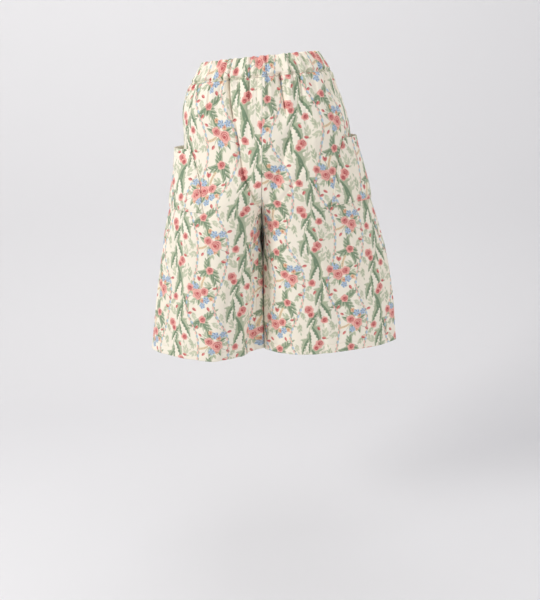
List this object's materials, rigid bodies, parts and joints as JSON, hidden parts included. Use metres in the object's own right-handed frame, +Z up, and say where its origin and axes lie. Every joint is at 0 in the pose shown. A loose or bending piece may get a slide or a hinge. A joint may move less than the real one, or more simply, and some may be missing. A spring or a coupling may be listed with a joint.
{
  "type": "culottes",
  "caption": "Pull-on knee-length culottes in floral printed cotton, worn and hollow, with a gathered elastic casing at the waist, wide legs and a patch pocket over each side seam.",
  "frame": {"origin": "middle of the waist opening, at the upper edge of the casing, where the wearer's waist holds the garment", "axes": "+Z up from hems to waist, the front faces -Y, the wearer's left is +X"},
  "size_m": [0.58, 0.2758, 0.6536],
  "materials": {
    "printed_cotton": "matt plain-weave furnishing cotton with a multicolour floral print on a cream ground"
  },
  "bodies": {
    "root": {"waist_casing": "printed_cotton", "front_panel_right": "printed_cotton", "front_panel_left": "printed_cotton", "back_panel_right": "printed_cotton", "back_panel_left": "printed_cotton", "patch_pocket_right": "printed_cotton", "patch_pocket_left": "printed_cotton"}
  },
  "joints": []
}
